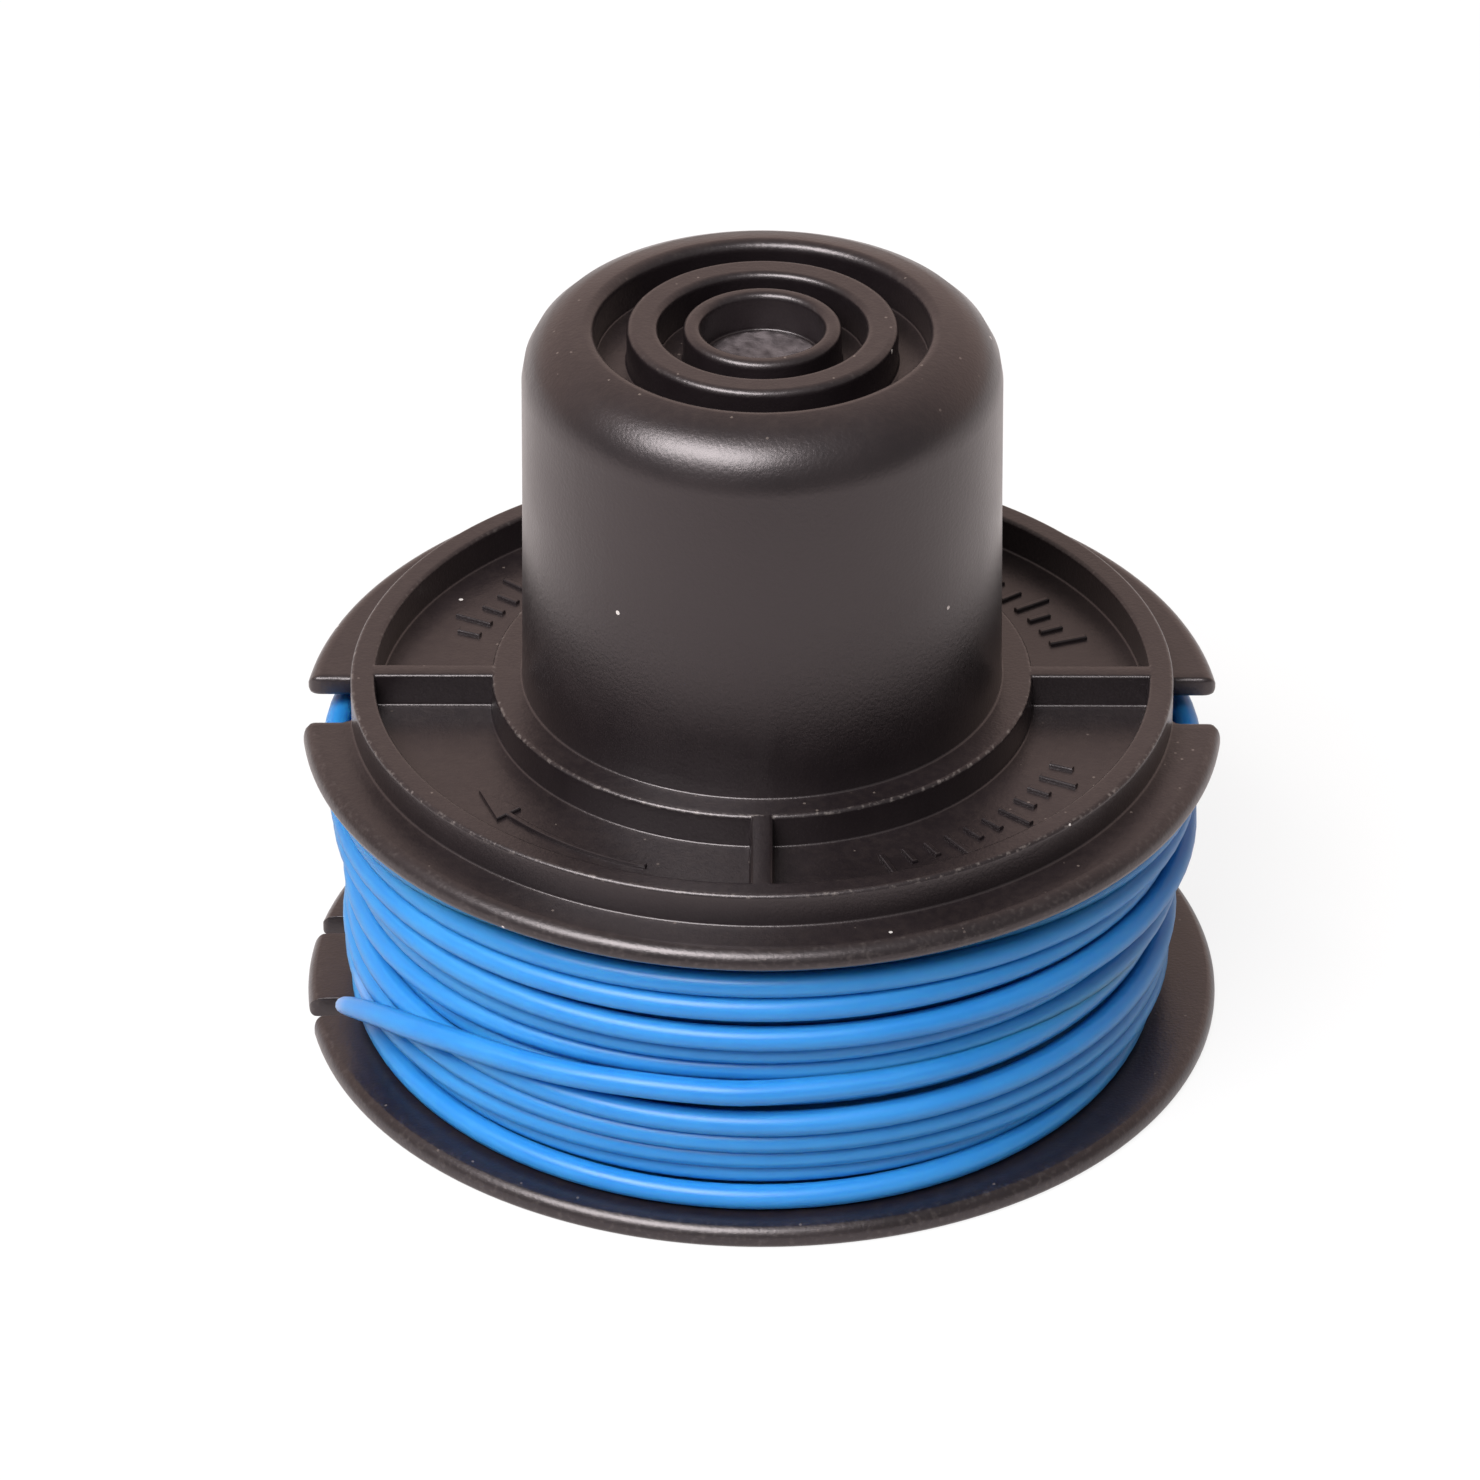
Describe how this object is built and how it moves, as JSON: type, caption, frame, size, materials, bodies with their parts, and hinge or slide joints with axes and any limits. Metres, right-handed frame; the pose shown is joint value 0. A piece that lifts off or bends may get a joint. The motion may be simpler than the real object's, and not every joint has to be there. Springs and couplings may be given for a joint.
{
  "type": "trimmer line spool",
  "caption": "Black flanged spool with a round bump knob on top, wound with blue trimmer line, for a garden trimmer's bump-feed head.",
  "frame": {"origin": "centre of the lower flange's underside, which the spool stands on", "axes": "+Z along the spool's axis towards the bump knob; the line slots lie on +X and -X, and the parking notches on -X"},
  "size_m": [0.0604, 0.0604, 0.0505],
  "materials": {
    "spool_plastic": "fine moulded grain, matte",
    "line_nylon": "smooth, slightly clear"
  },
  "bodies": {
    "root": {"spool_body": "spool_plastic", "trimmer_line": "line_nylon"}
  },
  "joints": []
}
